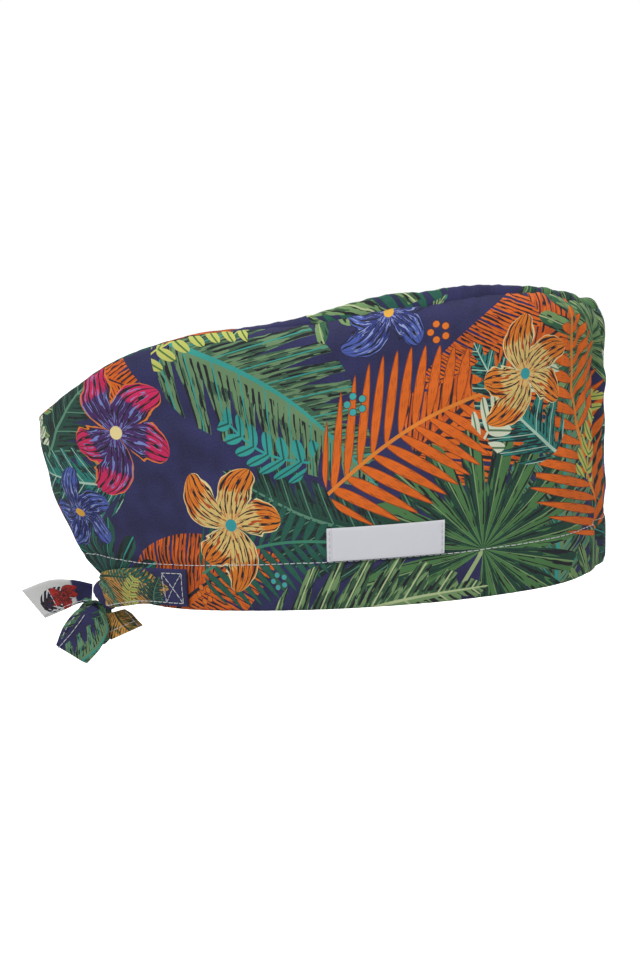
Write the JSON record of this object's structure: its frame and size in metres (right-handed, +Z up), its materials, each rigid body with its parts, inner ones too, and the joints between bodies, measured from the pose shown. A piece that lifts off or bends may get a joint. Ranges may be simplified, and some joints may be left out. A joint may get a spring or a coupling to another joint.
{
  "type": "surgical scrub cap",
  "caption": "Tie-back surgical scrub cap of printed cotton, with a hemmed side band, a long crown panel, a sewn label and ties bowed at the nape.",
  "frame": {"origin": "middle of the head opening, in the level of its lower edge, where a head goes in", "axes": "+Z up, +X towards the brow, +Y towards the wearer's left"},
  "size_m": [0.2808, 0.1537, 0.1821],
  "materials": {
    "printed_cotton": "woven cotton with an all-over printed tropical pattern of greens, orange and magenta on navy",
    "tie_cotton": "folded and edge-stitched printed cotton",
    "label_tape": "white woven tape"
  },
  "bodies": {
    "root": {"side_band": "printed_cotton", "crown_panel": "printed_cotton", "side_label": "label_tape", "right_tie_strap": "tie_cotton", "left_tie_strap": "tie_cotton", "bow_knot": "tie_cotton", "right_bow_loop": "tie_cotton", "left_bow_loop": "tie_cotton", "upper_tie_end": "tie_cotton", "lower_tie_end": "tie_cotton"}
  },
  "joints": []
}
